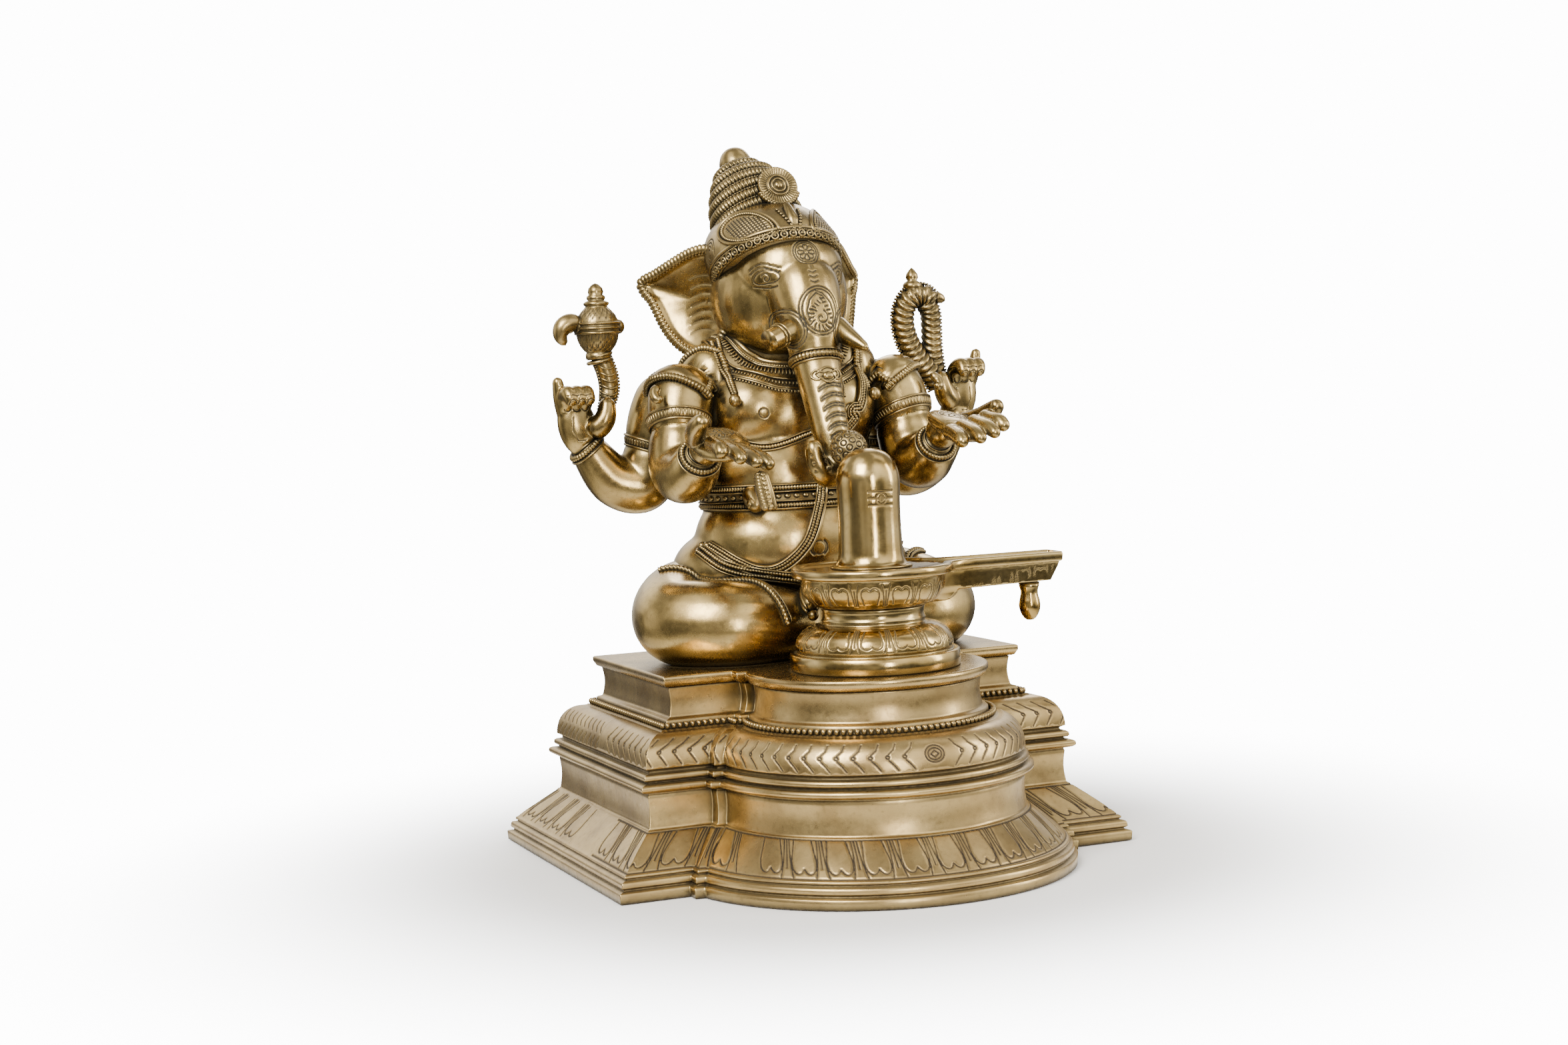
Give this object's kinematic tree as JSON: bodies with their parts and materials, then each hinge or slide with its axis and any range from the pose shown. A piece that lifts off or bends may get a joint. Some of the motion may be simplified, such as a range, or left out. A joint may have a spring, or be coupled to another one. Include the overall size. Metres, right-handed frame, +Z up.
{
  "type": "hindu deity statue",
  "caption": "Cast brass seated elephant-headed deity with four arms behind a loose domed emblem on a spouted lotus basin, all on a tiered half-round pedestal.",
  "frame": {"origin": "centre of the pedestal's footprint box, on the surface it stands on", "axes": "+Z up, +X towards the figure's left hands and the basin's spout, +Y towards the back; the figure faces -Y"},
  "size_m": [0.3612, 0.3672, 0.4805],
  "materials": {
    "figure_brass": "hand-filed and buffed satin cast brass, brown patina in the recesses",
    "chased_brass": "chased and punched cast brass, dark patina between the beads",
    "pedestal_brass": "filed and wire-brushed cast brass with engraved petals, grey-brown patina",
    "polished_brass": "lathe-turned and polished brass with engraved lines",
    "steel_fixings": "plain steel stud, nut and washer, hidden"
  },
  "bodies": {
    "statue": {"pedestal_front": "pedestal_brass", "pedestal_rear": "pedestal_brass", "pedestal_top_plate": "pedestal_brass", "crossed_legs": "figure_brass", "torso": "figure_brass", "head": "figure_brass", "trunk": "figure_brass", "right_rear_upper_arm": "figure_brass", "right_rear_forearm": "figure_brass", "right_front_upper_arm": "figure_brass", "right_front_forearm": "figure_brass", "right_front_hand": "figure_brass", "right_rear_hand": "figure_brass", "left_rear_upper_arm": "figure_brass", "left_rear_forearm": "figure_brass", "left_front_upper_arm": "figure_brass", "left_front_forearm": "figure_brass", "left_front_hand": "figure_brass", "left_rear_hand": "figure_brass", "right_ear": "figure_brass", "left_ear": "figure_brass", "right_tusk": "figure_brass", "left_tusk": "figure_brass", "crown": "chased_brass", "crown_coils": "chased_brass", "crown_fan": "chased_brass", "crown_finial": "chased_brass", "trunk_band": "chased_brass", "flower_ball": "chased_brass", "collar": "chased_brass", "waist_belt": "chased_brass", "left_shoulder_cape": "chased_brass", "right_shoulder_cape": "chased_brass", "sacred_thread": "chased_brass", "hip_cord": "chased_brass", "right_front_armlet": "chased_brass", "right_rear_armlet": "chased_brass", "right_front_bracelet": "chased_brass", "right_rear_bracelet": "chased_brass", "left_front_armlet": "chased_brass", "left_rear_armlet": "chased_brass", "left_front_bracelet": "chased_brass", "left_rear_bracelet": "chased_brass", "goad": "chased_brass", "noose": "chased_brass", "hand_tassel": "chased_brass", "left_figure_stud": "steel_fixings", "left_figure_washer": "steel_fixings", "left_figure_nut": "steel_fixings", "right_figure_stud": "steel_fixings", "right_figure_washer": "steel_fixings", "right_figure_nut": "steel_fixings"},
    "emblem_set": {"lotus_stand": "polished_brass", "yoni_basin": "polished_brass", "spout_knob": "polished_brass", "lingam": "polished_brass", "tie_stud": "steel_fixings", "tie_nut": "steel_fixings"}
  },
  "joints": [
    {"name": "emblem_set_slide", "type": "slide", "parent": "statue", "child": "emblem_set", "axis": [0, -1, 0], "range_m": [0, 0.04]}
  ]
}
